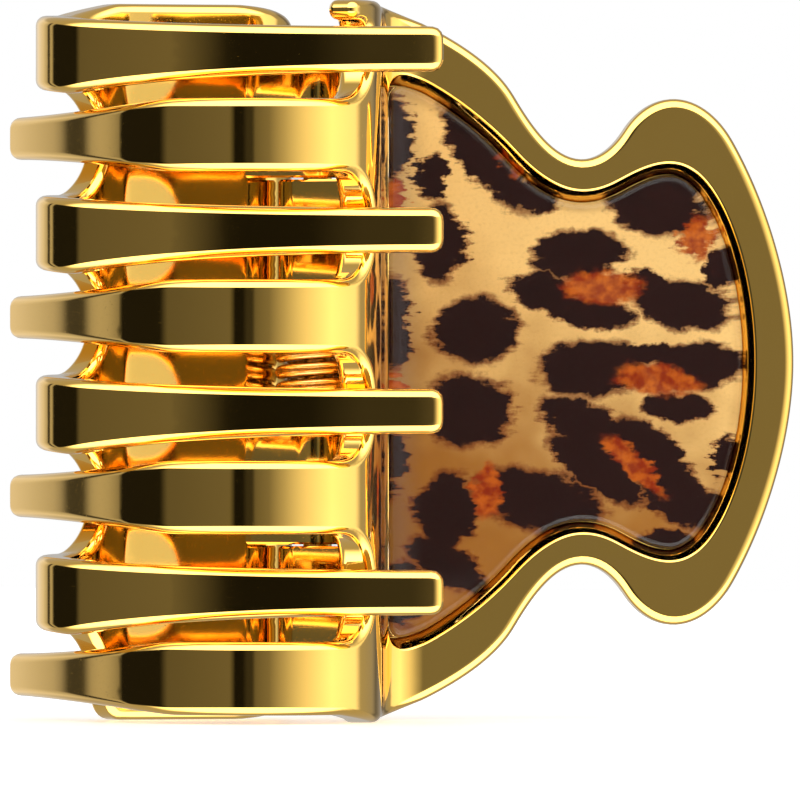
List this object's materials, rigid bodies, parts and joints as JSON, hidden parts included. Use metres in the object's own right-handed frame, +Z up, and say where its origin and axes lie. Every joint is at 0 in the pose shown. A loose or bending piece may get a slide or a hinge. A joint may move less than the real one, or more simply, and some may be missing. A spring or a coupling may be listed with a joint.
{
  "type": "claw hair clip",
  "caption": "Small claw hair clip: two toothed gold jaws with inlaid spotted grips, hinged on a pin and held shut by a torsion spring.",
  "frame": {"origin": "centre of the bounding box in X and Y, on the lower end of the clip", "axes": "+Z up along the hinge pin, +Y from the teeth to the grips, +X towards the front jaw"},
  "size_m": [0.0438, 0.0346, 0.04],
  "materials": {
    "gold": "gold electroplated, mirror gloss",
    "steel": "gold-coloured plated steel wire",
    "print": "spotted animal print in tan, brown and orange",
    "clear": "clear polished cover"
  },
  "bodies": {
    "front": {"front_jaw": "gold", "front_print_sheet": "print", "front_clear_cover": "clear", "hinge_pin": "steel", "torsion_spring": "steel"},
    "rear": {"rear_jaw": "gold", "rear_print_sheet": "print", "rear_clear_cover": "clear"}
  },
  "joints": [
    {"name": "jaw_hinge", "type": "hinge", "parent": "front", "child": "rear", "pos_m": [0, 0.00025, 0.02], "axis": [0, 0, -1], "range_deg": [0, 70], "stiffness_Nm_per_rad": 0.06, "springref_deg": -34.38, "deforming": ["torsion_spring"]}
  ]
}
